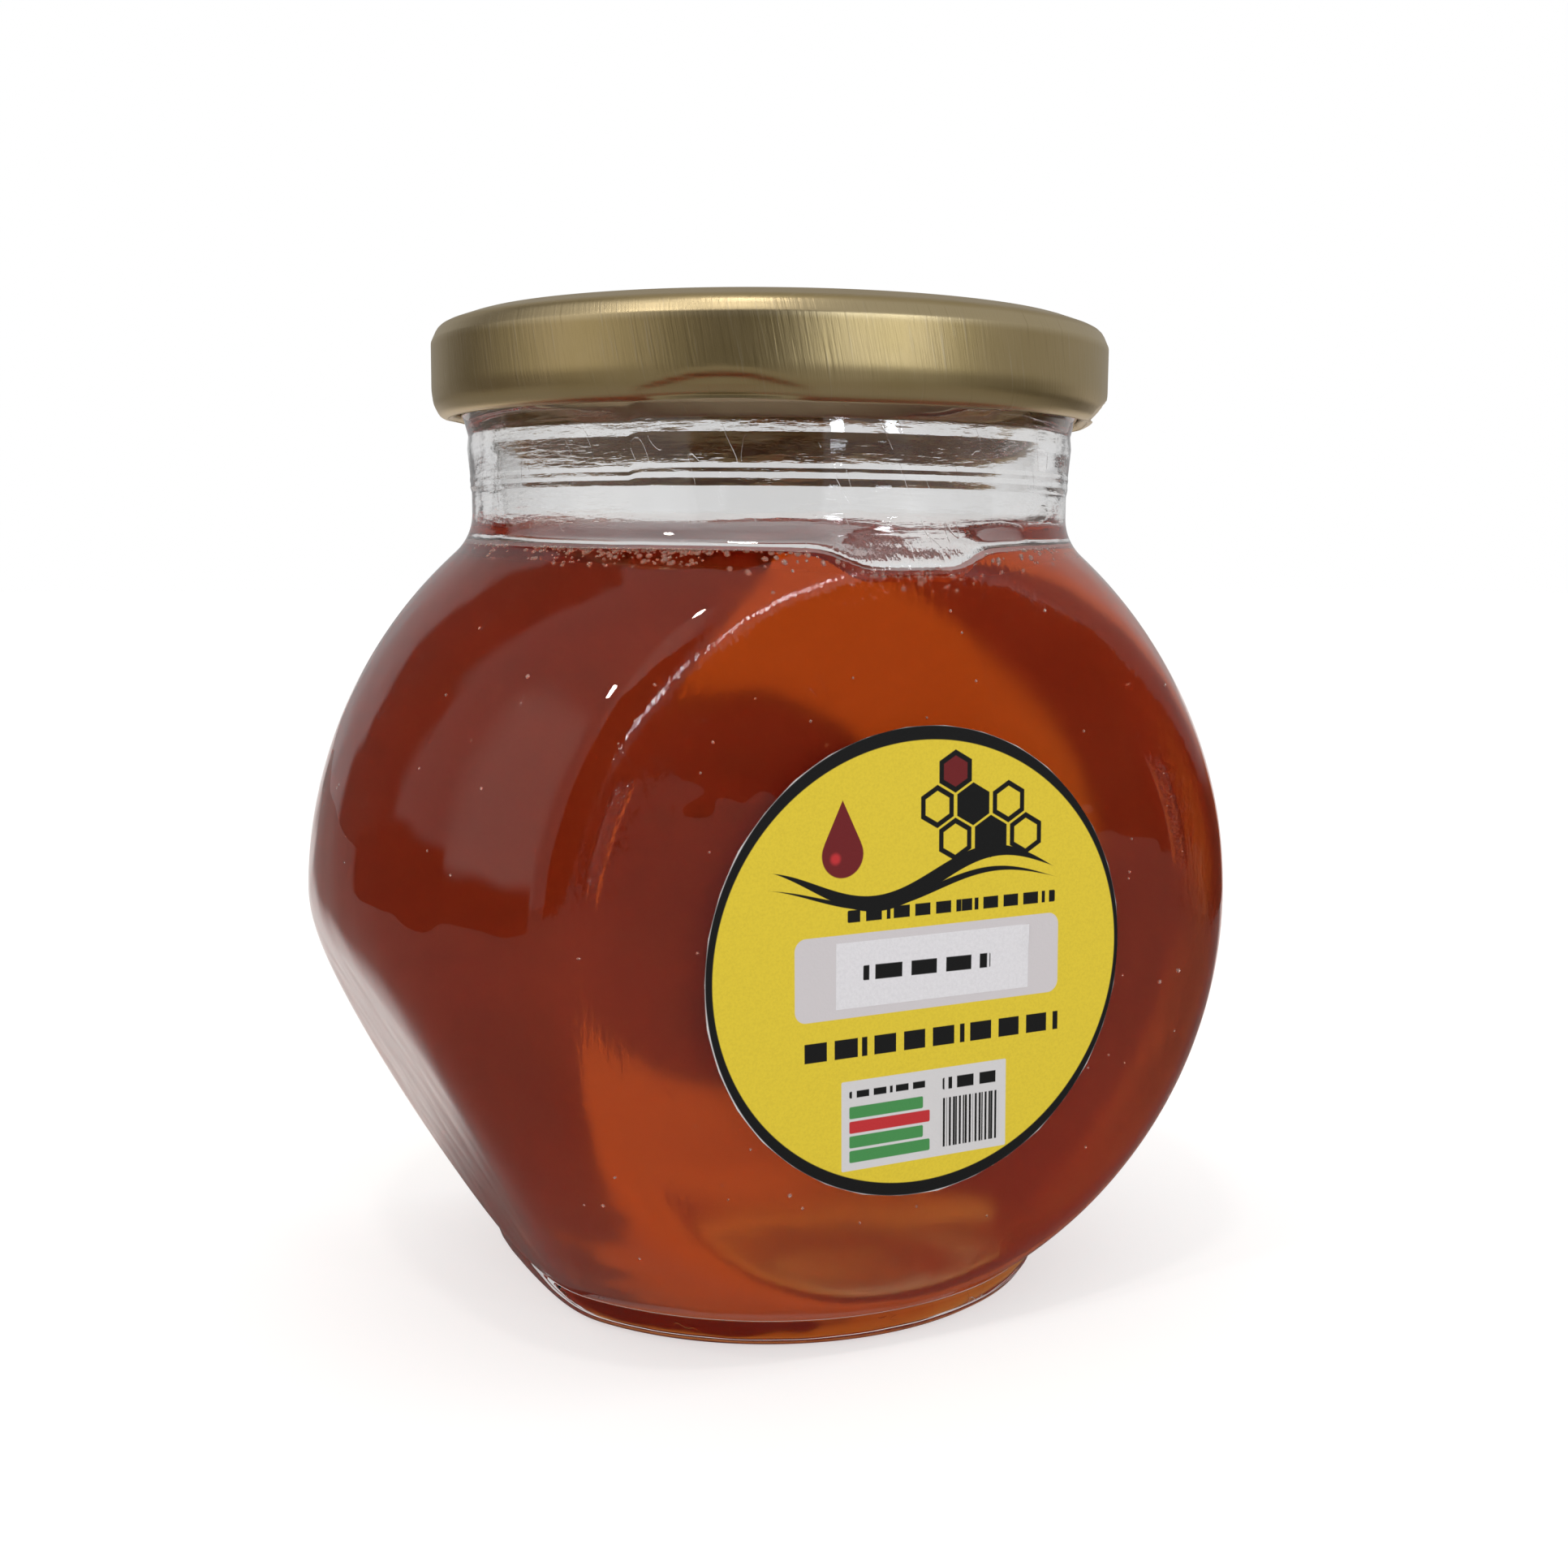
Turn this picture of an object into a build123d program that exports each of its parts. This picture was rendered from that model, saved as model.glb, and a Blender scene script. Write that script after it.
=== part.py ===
"""Globe honey jar with two flat round faces, a lug cap and a round label on each face.

Units are millimetres.  +Z is up, the jar stands on z = 0 with its neck on the
Z axis, and the labelled flat face looks along -Y.
"""

from build123d import *
from math import cos, radians, sin
import os

# ---------------------------------------------------------------- dimensions

# glass body: an upright ellipsoid of revolution with two flat round faces
globe_radius = 58.5
globe_half_height = 57.8
globe_centre_z = 49.7
face_distance = 39.0
face_rim_radius = 5.0

# small slanted flat low on the -X side, on which the jar can lean
slant_angle = 28.4
slant_distance = 52.0
slant_rim_radius = 18.0

# glass wall, floor and foot
wall = 3.4
floor_z = 5.8
floor_corner_radius = 3.0
foot_radius = 35.8
foot_height = 9.0
heel_radius = 3.4
punt_radius = 27.0
punt_height = 1.8
punt_sphere_radius = (punt_radius ** 2 + punt_height ** 2) / (2 * punt_height)

# neck, from its root on the globe up to the bead under the cap
neck_radius = 37.3
neck_root_z = 96.4
neck_root_radius = 5.0
neck_root_turn = 60.0
neck_straight_z = 99.5
neck_flare_radius = 38.4
neck_flare_z = 106.5
neck_half_depth = 38.4
bead_radius = 39.7
bead_bottom_z = 108.7
bead_top_z = 109.4

# threaded finish inside the cap
finish_radius = 39.2
finish_top_z = 119.7
lip_radius = 2.2
bore_radius = 34.2
inner_shoulder_radius = 4.0
thread_radius = 40.3
thread_bottom_z = 111.4
thread_height = 1.7
thread_arc = 60.0
thread_lead = 6.0

# contents
honey_level_z = 90.3

# lug cap
cap_radius = 42.5
cap_bottom_z = 108.3
cap_top_z = 120.5
cap_sheet = 0.6
cap_shoulder_radius = 5.9
cap_curl_radius = 1.05
cap_curl_gap = 0.05
panel_radius = 31.0
panel_slope = 1.4
panel_depth = 0.8
lug_count = 4
first_lug_angle = -33.0
lug_arc = 24.0
lug_inner_radius = 39.5
lug_bottom_z = 109.5
lug_height = 1.7
lug_depth = 2.6
dent_radius = 2.4
dent_depth = 0.35
dent_arc = 15.0
dent_z = 111.2

# paper: one round label on each flat face, and a sticker across the front one
label_radius = 27.2
label_x = 0.7
label_z = globe_centre_z - 3.6
label_thickness = 0.15
back_label_x = -0.8
back_label_z = globe_centre_z - 2.6
sticker_width = 25.4
sticker_height = 7.5
sticker_x = 2.3
sticker_z = globe_centre_z - 4.1
sticker_tilt = 0.5
sticker_thickness = 0.12

# a length greater than the whole jar, for cutting blocks
beyond = 300.0


# ------------------------------------------------------------------- helpers

def slant_direction():
    """Outward direction of the slanted flat."""
    return Vector(-cos(radians(slant_angle)), 0, -sin(radians(slant_angle)))


def slant_plane(inset):
    """Plane of the slanted flat, moved inwards by inset."""
    outward = slant_direction()
    middle = Vector(0, 0, globe_centre_z) + outward * (slant_distance - inset)
    return Plane(origin=middle, z_dir=outward)


def radial_plane(angle):
    """Upright plane through the Z axis: local x points outwards, local y up."""
    turn = radians(angle)
    return Plane(origin=(0, 0, 0), x_dir=(cos(turn), sin(turn), 0), z_dir=(sin(turn), -cos(turn), 0))


def flattened_globe(inset):
    """The globe with its two round faces and its slanted flat, moved in by inset."""
    half_height = globe_half_height - inset
    with BuildPart() as globe:
        with BuildSketch(Plane.XZ):
            with BuildLine():
                EllipticalCenterArc(
                    (0, globe_centre_z),
                    globe_radius - inset,
                    half_height,
                    start_angle=-90,
                    arc_size=180,
                )
                Line((0, globe_centre_z + half_height), (0, globe_centre_z - half_height))
            make_face()
        revolve(axis=Axis.Z)
        Box(beyond, 2 * (face_distance - inset), beyond, mode=Mode.INTERSECT)
        face_rims = globe.faces().filter_by(Axis.Y).edges()
        fillet(face_rims, face_rim_radius)
        split(bisect_by=slant_plane(inset), keep=Keep.BOTTOM)
        outward_axis = Axis(origin=(0, 0, globe_centre_z), direction=slant_direction())
        slant_face = globe.faces().sort_by(outward_axis)[-1]
        fillet(slant_face.edges(), slant_rim_radius)
    return globe.part


# -------------------------------------------------------------------- cavity

with BuildPart() as globe_cavity:
    add(flattened_globe(wall))
    split(bisect_by=Plane.XY.offset(floor_z), keep=Keep.TOP)
    floor_edges = globe_cavity.faces().sort_by(Axis.Z)[0].edges()
    fillet(floor_edges, floor_corner_radius)

with BuildPart() as bore:
    with BuildSketch(Plane.XY.offset(globe_centre_z)):
        Circle(bore_radius)
    extrude(amount=beyond)

with BuildPart() as cavity:
    add(globe_cavity.part)
    add(bore.part)
    shoulder_edges = cavity.edges().filter_by_position(Axis.Z, honey_level_z, neck_root_z)
    fillet(shoulder_edges, inner_shoulder_radius)

# --------------------------------------------------------------------- honey

with BuildPart() as honey:
    add(cavity.part)
    split(bisect_by=Plane.XY.offset(honey_level_z), keep=Keep.BOTTOM)

# ----------------------------------------------------------------- glass jar

with BuildPart() as foot:
    with BuildSketch():
        Circle(foot_radius)
    extrude(amount=foot_height)
    fillet(foot.edges().sort_by(Axis.Z)[0], heel_radius)
    split(bisect_by=slant_plane(0), keep=Keep.BOTTOM)

with BuildPart() as neck_root:
    with BuildSketch(Plane.XZ):
        with BuildLine():
            flare = CenterArc(
                (neck_radius + neck_root_radius, neck_root_z),
                neck_root_radius,
                start_angle=180,
                arc_size=neck_root_turn,
            )
            Polyline(flare @ 1, (0, globe_centre_z), (0, neck_root_z), flare @ 0)
        make_face()
    revolve(axis=Axis.Z)
    Box(beyond, 2 * neck_half_depth, beyond, mode=Mode.INTERSECT)

with BuildPart() as neck:
    with BuildSketch(Plane.XZ):
        with BuildLine():
            Polyline(
                (0, neck_root_z),
                (neck_radius, neck_root_z),
                (neck_radius, neck_straight_z),
            )
            Spline(
                (neck_radius, neck_straight_z),
                (neck_flare_radius, neck_flare_z),
                (bead_radius, bead_bottom_z),
                tangents=((0, 1), (1, 1)),
            )
            Polyline(
                (bead_radius, bead_bottom_z),
                (bead_radius, bead_top_z),
                (finish_radius, bead_top_z),
                (finish_radius, finish_top_z),
                (0, finish_top_z),
                (0, neck_root_z),
            )
        make_face()
    revolve(axis=Axis.Z)
    lip_edge = neck.edges().group_by(Axis.Z)[-1]
    fillet(lip_edge, lip_radius)

with BuildPart() as threads:
    for index in range(lug_count):
        thread_start = first_lug_angle + thread_lead + index * 360 / lug_count
        with BuildSketch(radial_plane(thread_start)):
            with Locations((finish_radius, thread_bottom_z + thread_height / 2)):
                Rectangle(2 * (thread_radius - finish_radius), thread_height)
        revolve(axis=Axis.Z, revolution_arc=thread_arc)

with BuildPart() as jar:
    add(flattened_globe(0))
    split(bisect_by=Plane.XY, keep=Keep.TOP)
    add(foot.part)
    add(neck_root.part)
    add(neck.part)
    add(threads.part)
    add(cavity.part, mode=Mode.SUBTRACT)
    with Locations((0, 0, punt_height - punt_sphere_radius)):
        Sphere(punt_sphere_radius, mode=Mode.SUBTRACT)

# ----------------------------------------------------------------------- lid

with BuildPart() as lid_shell:
    with BuildSketch(Plane.XY.offset(cap_bottom_z + cap_curl_radius)):
        Circle(cap_radius)
    extrude(amount=cap_top_z - cap_bottom_z - cap_curl_radius)
    fillet(lid_shell.edges().sort_by(Axis.Z)[-1], cap_shoulder_radius)
    with Locations((0, 0, cap_top_z - panel_depth / 2)):
        Cone(panel_radius, panel_radius + panel_slope, panel_depth, mode=Mode.SUBTRACT)
    open_end = lid_shell.faces().sort_by(Axis.Z)[0]
    offset(amount=-cap_sheet, openings=open_end)

with BuildPart() as lid:
    add(lid_shell.part)
    with Locations((0, 0, cap_bottom_z + cap_curl_radius)):
        Torus(cap_radius - cap_curl_radius - cap_curl_gap, cap_curl_radius)
    for index in range(lug_count):
        lug_angle = first_lug_angle + index * 360 / lug_count
        with BuildSketch(radial_plane(lug_angle - lug_arc / 2)):
            with Locations((lug_inner_radius, lug_bottom_z)):
                Rectangle(lug_depth, lug_height, align=Align.MIN)
        revolve(axis=Axis.Z, revolution_arc=lug_arc)
    for index in range(lug_count):
        lug_angle = first_lug_angle + index * 360 / lug_count
        with BuildSketch(radial_plane(lug_angle - dent_arc / 2)):
            with Locations((cap_radius + dent_radius - dent_depth, dent_z)):
                Circle(dent_radius)
        revolve(axis=Axis.Z, revolution_arc=dent_arc, mode=Mode.SUBTRACT)

# -------------------------------------------------------- labels and sticker

with BuildPart() as label:
    with BuildSketch(Plane.XZ.offset(face_distance)):
        with Locations((label_x, label_z)):
            Circle(label_radius)
    extrude(amount=label_thickness)

with BuildPart() as back_label:
    with BuildSketch(Plane.XZ.offset(-face_distance)):
        with Locations((back_label_x, back_label_z)):
            Circle(label_radius)
    extrude(amount=-label_thickness)

with BuildPart() as sticker:
    with BuildSketch(Plane.XZ.offset(face_distance + label_thickness)):
        with Locations((sticker_x, sticker_z)):
            Rectangle(sticker_width, sticker_height, rotation=sticker_tilt)
    extrude(amount=sticker_thickness)

# -------------------------------------------------------------------- export

pieces = {
    "jar": jar,
    "honey": honey,
    "lid": lid,
    "label": label,
    "sticker": sticker,
    "back_label": back_label,
}
os.makedirs("parts", exist_ok=True)
for name, piece in pieces.items():
    piece.part.label = name
    export_step(piece.part, f"parts/{name}.step")
    print(name, "volume", round(piece.part.volume / 1000, 2), "cm3")
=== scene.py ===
# %% [markdown]
# # A honey jar
# The jar stands on the origin with its neck on the Z axis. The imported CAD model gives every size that
# matters: where the glass ends, how high the honey stands, where the cap and the labels sit. The pieces
# here are finer copies of those solids, with the small curves and blemishes that make glass look blown.

# %% Load the frame
import math
import random

import bmesh
import bpy
from mathutils import Matrix, Vector, noise


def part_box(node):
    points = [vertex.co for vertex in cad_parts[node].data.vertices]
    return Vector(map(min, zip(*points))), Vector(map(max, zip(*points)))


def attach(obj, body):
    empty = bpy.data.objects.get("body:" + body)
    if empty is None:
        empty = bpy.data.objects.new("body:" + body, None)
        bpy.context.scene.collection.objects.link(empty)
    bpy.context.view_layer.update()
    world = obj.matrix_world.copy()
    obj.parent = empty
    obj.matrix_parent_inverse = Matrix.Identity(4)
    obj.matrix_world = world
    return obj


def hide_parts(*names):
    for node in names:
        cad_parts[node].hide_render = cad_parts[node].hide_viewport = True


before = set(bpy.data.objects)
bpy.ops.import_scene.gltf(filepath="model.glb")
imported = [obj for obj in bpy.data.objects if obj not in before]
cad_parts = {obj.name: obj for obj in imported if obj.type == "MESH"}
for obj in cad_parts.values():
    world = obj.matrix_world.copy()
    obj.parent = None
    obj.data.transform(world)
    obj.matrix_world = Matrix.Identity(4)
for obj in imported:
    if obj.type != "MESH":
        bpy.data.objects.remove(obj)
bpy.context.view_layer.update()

# %% [markdown]
# Lengths below are in millimetres, because a jar is easier to think about that way. Each mesh is scaled
# to metres once, when it is finished. The frame's boxes give the main sizes.

# %% Sizes read from the frame
MM = 0.001


def box_mm(node):
    """Lowest and highest corner of a CAD node, in millimetres."""
    low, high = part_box(node)
    return [value / MM for value in low], [value / MM for value in high]


_, jar_high = box_mm("jar")
honey_low, honey_high = box_mm("honey")
lid_low, lid_high = box_mm("lid")
label_low, label_high = box_mm("label")
sticker_low, sticker_high = box_mm("sticker")
back_low, back_high = box_mm("back_label")

FACE_Y = -label_high[1]
INNER_FACE_Y = honey_high[1]
WALL = FACE_Y - INNER_FACE_Y
GLOBE_RADIUS = round(jar_high[0], 1)
FLOOR_Z = honey_low[2]
LEVEL_Z = honey_high[2]
RIM_Z = jar_high[2]
CAP_RADIUS = lid_high[0]
CAP_LOW_Z, CAP_TOP_Z = lid_low[2], lid_high[2]
print("wall", round(WALL, 2), "honey level", round(LEVEL_Z, 2), "cap radius", round(CAP_RADIUS, 2))

# %% [markdown]
# A few measures are the jar maker's own: where the globe's middle lies, how the slanted flat stands, and
# how softly the flats run into the globe. The round faces are cut from an upright globe, slightly wider
# than tall, and the small slanted flat low on the left lets the jar lie back on a shelf.

# %% The jar maker's measures
GLOBE_MIDDLE_Z = 49.7
GLOBE_HALF_HEIGHT = 57.8
SLANT_DISTANCE = 52.0
SLANT_ANGLE = math.radians(28.4)
SLANT_OUT = Vector((-math.cos(SLANT_ANGLE), 0, -math.sin(SLANT_ANGLE)))
FACE_SOFTNESS = 2.9
SLANT_SOFTNESS = 2.4
BORE_RADIUS = 34.2
FOOT_RADIUS = 35.8

# %% [markdown]
# The outlines of turned pieces are polylines with rounded corners and arcs of an ellipse. One helper rounds
# corners, another walks the globe's side, so each outline below reads like a turner's drawing: radius
# first, height second.

# %% Outline helpers
def divided(points, spacing):
    """The same line with long stretches divided, and nearly equal points left out."""
    line = [points[0]]
    for point in points[1:]:
        last = Vector(line[-1])
        step = Vector(point) - last
        if step.length < 0.02:
            continue
        pieces = max(1, round(step.length / spacing))
        line += [tuple(last + step * i / pieces) for i in range(1, pieces + 1)]
    return line


def rounded(corners, spacing):
    """A polyline of (radius, height, rounding) corners, with arcs in the rounded ones."""
    points = [corners[0][:2]]
    for before, corner, after in zip(corners, corners[1:], corners[2:]):
        here = Vector(corner[:2])
        to_before = (Vector(before[:2]) - here).normalized()
        to_after = (Vector(after[:2]) - here).normalized()
        half_angle = to_before.angle(to_after) / 2
        reach = corner[2] / math.tan(half_angle)
        middle = here + (to_before + to_after).normalized() * corner[2] / math.sin(half_angle)
        first = (here + to_before * reach - middle).normalized()
        last = (here + to_after * reach - middle).normalized()
        steps = max(2, round(first.angle(last) * corner[2] / spacing))
        points += [tuple(middle + first.slerp(last, i / steps) * corner[2]) for i in range(steps + 1)]
    points.append(corners[-1][:2])
    return divided(points, spacing)


def globe_z(radius, inset, side):
    """Height of the globe, moved inwards by inset, at a radius: side is 1 above its middle, -1 below."""
    share = radius / (GLOBE_RADIUS - inset)
    return GLOBE_MIDDLE_Z + side * (GLOBE_HALF_HEIGHT - inset) * math.sqrt(1 - share ** 2)


def globe_side(low_radius, high_radius, inset, count):
    """The globe's side, from a radius on its lower half up to a radius on its upper half."""
    wide, high = GLOBE_RADIUS - inset, GLOBE_HALF_HEIGHT - inset
    start, end = -math.acos(low_radius / wide), math.acos(high_radius / wide)
    angles = [start + (end - start) * i / count for i in range(count + 1)]
    return [(wide * math.cos(a), GLOBE_MIDDLE_Z + high * math.sin(a)) for a in angles]


# %% [markdown]
# A glass jar could be a Screw modifier on a curve. Here the outline is spun by bmesh, because the spun
# skin is then pressed against the flats, point by point, as the mould does it. A long spin is slow, so an
# eighth of the turn is spun and copied round. The soft minimum rounds the place where a flat meets the
# globe.

# %% Spin an outline and press the flats
SECTORS = 8


def spun(outline, steps, insets=None):
    """A bmesh of the outline turned round the Z axis. insets marks how far each point is from the skin."""
    mesh = bmesh.new()
    depth = mesh.verts.layers.float.new("inset")
    ring = [mesh.verts.new((radius, 0, height)) for radius, height in outline]
    for i, vert in enumerate(ring):
        vert[depth] = insets[i] if insets else 0.0
    sides = [mesh.edges.new(pair) for pair in zip(ring, ring[1:])]
    sector = math.tau / SECTORS
    bmesh.ops.spin(
        mesh, geom=ring + sides, cent=(0, 0, 0), axis=(0, 0, 1), angle=sector, steps=steps // SECTORS
    )
    first = mesh.verts[:] + mesh.edges[:] + mesh.faces[:]
    for i in range(1, SECTORS):
        copied = bmesh.ops.duplicate(mesh, geom=first)["geom"]
        verts = [part for part in copied if isinstance(part, bmesh.types.BMVert)]
        bmesh.ops.rotate(mesh, cent=(0, 0, 0), matrix=Matrix.Rotation(sector * i, 3, "Z"), verts=verts)
    bmesh.ops.remove_doubles(mesh, verts=mesh.verts, dist=1e-3)
    bmesh.ops.recalc_face_normals(mesh, faces=mesh.faces)
    return mesh


def soft_min(a, b, softness):
    near = max(softness - abs(a - b), 0) / softness
    return min(a, b) - near * near * softness / 4


def smooth_step(value):
    value = min(max(value, 0.0), 1.0)
    return value * value * (3 - 2 * value)


def crowd_rim(co, inset):
    """Draws points of the globe's skin closer to the edge of a round face, where the form turns."""
    wide, high = GLOBE_RADIUS - inset, GLOBE_HALF_HEIGHT - inset
    x, z = co.x / wide, (co.z - GLOBE_MIDDLE_Z) / high
    across = math.hypot(x, z)
    edge = math.sqrt(1 - ((FACE_Y - inset) / wide) ** 2)
    away = across - edge
    clear = smooth_step((88 - co.z) / 10) * smooth_step((co.z - 10) / 6)
    if clear == 0 or abs(away) > 0.12:
        return
    shrink = 1 - clear * 0.5 * (1 - smooth_step(abs(away) / 0.12))
    grown = (edge + away * shrink) / across
    co.x *= grown
    co.z = GLOBE_MIDDLE_Z + (co.z - GLOBE_MIDDLE_Z) * grown
    left = 1 - (across * grown) ** 2
    co.y = math.copysign(wide * math.sqrt(left), co.y)


def press_flats(mesh):
    """Presses the two round faces and the slanted flat into a spun globe."""
    depth = mesh.verts.layers.float["inset"]
    middle = Vector((0, 0, GLOBE_MIDDLE_Z))
    for vert in mesh.verts:
        inset = vert[depth]
        on_globe = 8 < vert.co.z < 89
        if on_globe:
            crowd_rim(vert.co, inset)
        below_neck = 1 - smooth_step((vert.co.z - 94) / 2.6)
        pressed = math.copysign(soft_min(abs(vert.co.y), FACE_Y - inset, FACE_SOFTNESS), vert.co.y)
        vert.co.y += (pressed - vert.co.y) * below_neck
        out = (vert.co - middle).dot(SLANT_OUT)
        vert.co += SLANT_OUT * (soft_min(out, SLANT_DISTANCE - inset, SLANT_SOFTNESS) - out)


def finished(name, mesh, replaced=(), smooth=True):
    """Turns a bmesh in millimetres into an object in metres that rides on the jar."""
    bmesh.ops.scale(mesh, vec=(MM, MM, MM), verts=mesh.verts)
    data = bpy.data.meshes.new(name)
    mesh.to_mesh(data)
    mesh.free()
    data.shade_smooth() if smooth else data.shade_flat()
    piece = bpy.data.objects.new(name, data)
    bpy.context.scene.collection.objects.link(piece)
    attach(piece, "root")
    if replaced:
        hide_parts(*replaced)
    triangles = sum(len(face.vertices) - 2 for face in data.polygons)
    print(name, "triangles", triangles)
    return piece


# %% [markdown]
# The glass itself. From the bearing ring the skin turns round the heel, runs up the globe, comes in to the
# neck by a hollow root, carries the thin parting ridge where the neck ring met the body mould, and flares to
# the bead under the cap. Then it turns over the lip and runs down inside. Inside and outside are one closed
# skin, because that is what makes glass refract as a wall and not as a solid lump.

# %% Outline of the glass
NECK_RADIUS = 37.7
ROOT_RADIUS = 6.5
FINISH_RADIUS = 39.2


def root_of_neck(count):
    """The hollow fillet that touches both the globe and the upright neck, found by halving."""
    low, high = math.radians(40), math.radians(60)
    for _ in range(40):
        angle = (low + high) / 2
        touch = Vector((GLOBE_RADIUS * math.cos(angle), GLOBE_MIDDLE_Z + GLOBE_HALF_HEIGHT * math.sin(angle)))
        out = Vector((math.cos(angle) / GLOBE_RADIUS, math.sin(angle) / GLOBE_HALF_HEIGHT)).normalized()
        middle = touch + out * ROOT_RADIUS
        low, high = (angle, high) if middle.x > NECK_RADIUS + ROOT_RADIUS else (low, angle)
    start = math.atan2(-out.y, -out.x) % math.tau
    turns = [start + (math.pi - start) * i / count for i in range(count + 1)]
    return [(middle.x + ROOT_RADIUS * math.cos(a), middle.y + ROOT_RADIUS * math.sin(a)) for a in turns]


root_arc = root_of_neck(16)
base_line = rounded(
    [
        (0, 1.9, 0),
        (13.4, 1.9, 0.5),
        (14.1, 1.3, 0.5),
        (20.5, 1.3, 3),
        (26.0, 0.6, 2),
        (27.4, 0, 0.8),
        (FOOT_RADIUS, 0, 3.4),
        (FOOT_RADIUS, globe_z(FOOT_RADIUS, 0, -1), 0.35),
        (38.0, globe_z(38.0, 0, -1), 0),
    ],
    1.3,
)
neck_line = rounded(
    [
        root_arc[-1] + (0,),
        (NECK_RADIUS, 99.4, 0.5),
        (NECK_RADIUS + 0.18, 100.15, 0.25),
        (NECK_RADIUS + 0.15, 100.7, 0.25),
        (NECK_RADIUS + 0.23, 101.15, 0.2),
        (NECK_RADIUS + 0.19, 101.65, 0.3),
        (NECK_RADIUS + 0.50, 105.0, 0.5),
        (NECK_RADIUS + 0.36, 106.6, 0.6),
        (NECK_RADIUS + 0.85, 108.4, 0.8),
    ],
    0.34,
) + rounded(
    [
        (NECK_RADIUS + 0.85, 108.4, 0),
        (FINISH_RADIUS - 0.3, 108.9, 0.3),
        (FINISH_RADIUS - 0.3, 109.6, 0.2),
        (FINISH_RADIUS, 110.0, 0.25),
        (FINISH_RADIUS, RIM_Z, 2.2),
        (36.2, RIM_Z, 0),
    ],
    0.7,
)[1:]
MENISCUS = 1.5
MENISCUS_WIDTH = 3.8
MENISCUS_CURVE = 1.3
CONTACT_Z = LEVEL_Z + MENISCUS


def shoulder_radius(height, inset):
    """Radius of the globe, moved inwards by inset, at a height."""
    rise = (height - GLOBE_MIDDLE_Z) / (GLOBE_HALF_HEIGHT - inset)
    return (GLOBE_RADIUS - inset) * math.sqrt(1 - rise ** 2)


def inner_line(grow):
    """The cavity's side, from inside the lip down to the floor's middle, grown outwards by grow."""
    inset = WALL - grow
    bore = BORE_RADIUS + grow
    lip = rounded(
        [
            (36.2, RIM_Z, 0),
            (bore, RIM_Z, 1.4),
            (bore, globe_z(bore, inset, 1), 1.5),
            (shoulder_radius(CONTACT_Z, inset), CONTACT_Z, 0),
        ],
        0.9,
    )
    side = globe_side(36.4, shoulder_radius(CONTACT_Z, inset), inset, 40)
    floor = rounded(
        [
            (36.4, globe_z(36.4, inset, -1), 0),
            (33.2, FLOOR_Z - grow, 6.5),
            (22, FLOOR_Z - grow, 0),
        ],
        2.4,
    )
    return lip + side[::-1][1:-1] + floor + [(10, FLOOR_Z - grow), (0, FLOOR_Z - grow)]


outer_line = base_line + globe_side(38.0, root_arc[0][0], 0, 98)[1:-1] + root_arc + neck_line[1:]
cavity_line = inner_line(0.0)[1:]
glass_line = outer_line + cavity_line
print("glass outline", len(outer_line), "points outside and", len(cavity_line), "inside")

# %% [markdown]
# The neck ring is a mould of two halves that never meet quite evenly, so each seam is a fine upright line
# where the rings jog. Above the bead four ribs catch the cap's lugs. Blown glass is never quite even, so the
# skin swells and sinks by a few hundredths of a millimetre, and more inside than out.

# %% The glass jar
SEAM_ANGLES = (math.radians(-139), math.radians(41))
SEAM_HALF_TURN = 0.03
SEAM_JOG = 0.42
SEAM_RIDGE = 0.16
RIB_HEIGHT = 1.0
CONTACT_DIP = 1.3
FIRST_LUG_ANGLE = math.radians(-33)
GLASS_STEPS = 288


def angle_from(angle, other):
    """The signed turn from one direction to another."""
    return (angle - other + math.pi) % math.tau - math.pi


def seam_marks(co):
    """The jog and the fine upright line of the neck ring's seams."""
    angle = math.atan2(co.y, co.x)
    share = smooth_step((co.z - 99.4) / 1.2) * smooth_step((110 - co.z) / 1.0)
    if share == 0 or math.hypot(co.x, co.y) < 36:
        return
    turn = angle_from(angle, SEAM_ANGLES[0])
    one_seam = smooth_step(turn / SEAM_HALF_TURN + 0.5)
    half = one_seam - smooth_step((abs(turn) - math.pi) / SEAM_HALF_TURN + 0.5)
    co.z += share * SEAM_JOG * (half - 0.5)
    line = max(0.0, 1 - min(abs(angle_from(angle, seam)) for seam in SEAM_ANGLES) / SEAM_HALF_TURN)
    grow = 1 + share * SEAM_RIDGE * line / NECK_RADIUS
    co.x *= grow
    co.y *= grow


def thread_ribs(co):
    """Four ribs round the finish, which the cap's lugs turn in under."""
    radius = math.hypot(co.x, co.y)
    if radius < FINISH_RADIUS - 0.1 or co.z < 110:
        return
    for i in range(4):
        middle = FIRST_LUG_ANGLE + math.radians(36) + i * math.tau / 4
        turn = angle_from(math.atan2(co.y, co.x), middle)
        along = smooth_step((math.radians(30) - abs(turn)) / 0.08)
        across = smooth_step(1.6 - abs(co.z - 112.2 - turn * 0.6) / 0.8)
        grow = 1 + along * across * RIB_HEIGHT / radius
        co.x *= grow
        co.y *= grow


def uneven(co, inset):
    """Slow swells of blown glass, felt more on the inside."""
    outward = Vector((co.x, co.y, (co.z - GLOBE_MIDDLE_Z) * (0.2 if co.z > 92 else 1.0)))
    if outward.length < 1:
        return
    clear = smooth_step(co.z / 4) * smooth_step((RIM_Z - 1 - co.z) / 3)
    swell = noise.noise(Vector(co) / 19) * 0.05 + noise.noise(Vector(co) / 7 + Vector((9, 4, 1))) * 0.012
    if inset:
        swell = noise.noise(Vector(co) / 15 + Vector((3, 7, 5))) * 0.16 + noise.noise(Vector(co) / 5) * 0.03
    co += outward.normalized() * swell * clear


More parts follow.
